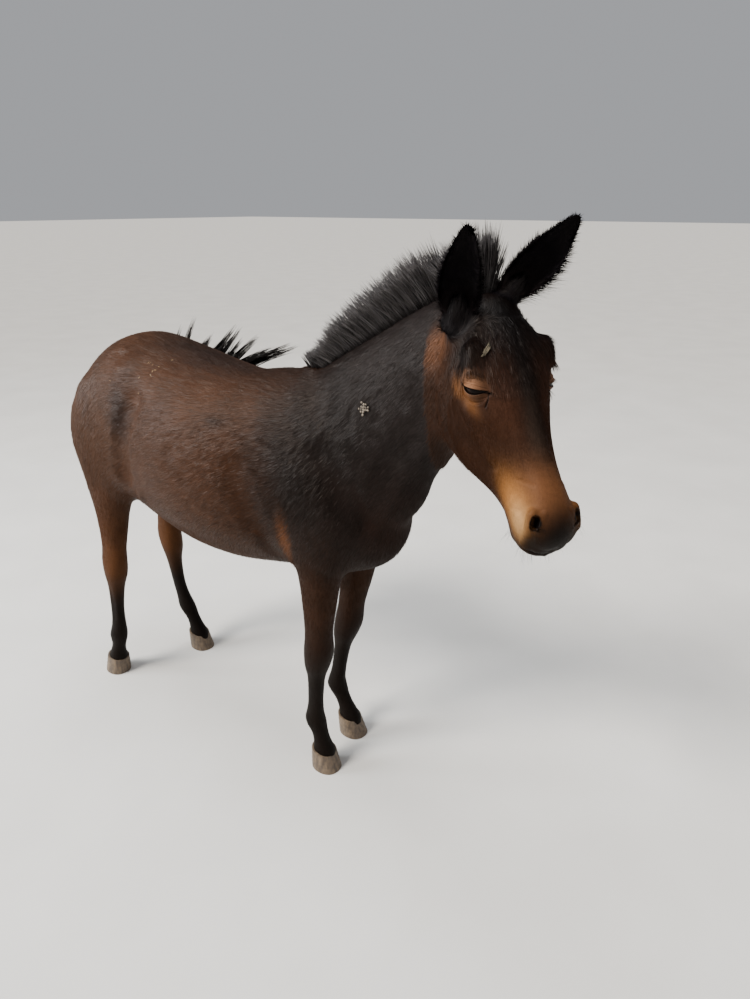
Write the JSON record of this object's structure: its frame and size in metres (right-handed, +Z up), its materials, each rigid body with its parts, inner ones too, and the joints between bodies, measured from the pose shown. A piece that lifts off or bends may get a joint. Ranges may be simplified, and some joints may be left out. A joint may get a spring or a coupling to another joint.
{
  "type": "mule",
  "caption": "Life-size still model of a young dark bay mule standing at rest, head low and turned aside, ears out, erect mane, tail swung to its flank.",
  "frame": {"origin": "middle of the bounding box at the level of the soles", "axes": "+Z up, the mule faces -Y, its left side is +X"},
  "size_m": [0.473, 1.579, 1.3329],
  "materials": {
    "coat_ear_left": "matte, short hair",
    "coat_ear_right": "matte, short hair",
    "eye_left": "wet gloss",
    "eye_right": "wet gloss",
    "hoof_fore_left": "dull horn",
    "hoof_fore_right": "dull horn",
    "coat_fore_leg_left": "matte, short hair",
    "coat_fore_leg_right": "matte, short hair",
    "coat_head": "matte, short hair",
    "hoof_hind_left": "dull horn",
    "hoof_hind_right": "dull horn",
    "coat_hind_leg_left": "matte, short hair",
    "coat_hind_leg_right": "matte, short hair",
    "coat_neck": "matte, short hair",
    "hair_tail": "coarse hair",
    "hair_tail_base": "coarse hair",
    "coat_body": "matte, short hair"
  },
  "bodies": {
    "root": {"ear_left": "coat_ear_left", "ear_right": "coat_ear_right", "eye_left": "eye_left", "eye_right": "eye_right", "fore_hoof_left": "hoof_fore_left", "fore_hoof_right": "hoof_fore_right", "fore_leg_left": "coat_fore_leg_left", "fore_leg_right": "coat_fore_leg_right", "head": "coat_head", "hind_hoof_left": "hoof_hind_left", "hind_hoof_right": "hoof_hind_right", "hind_leg_left": "coat_hind_leg_left", "hind_leg_right": "coat_hind_leg_right", "neck": "coat_neck", "tail": "hair_tail", "tail_base": "hair_tail_base", "torso": "coat_body"}
  },
  "joints": []
}
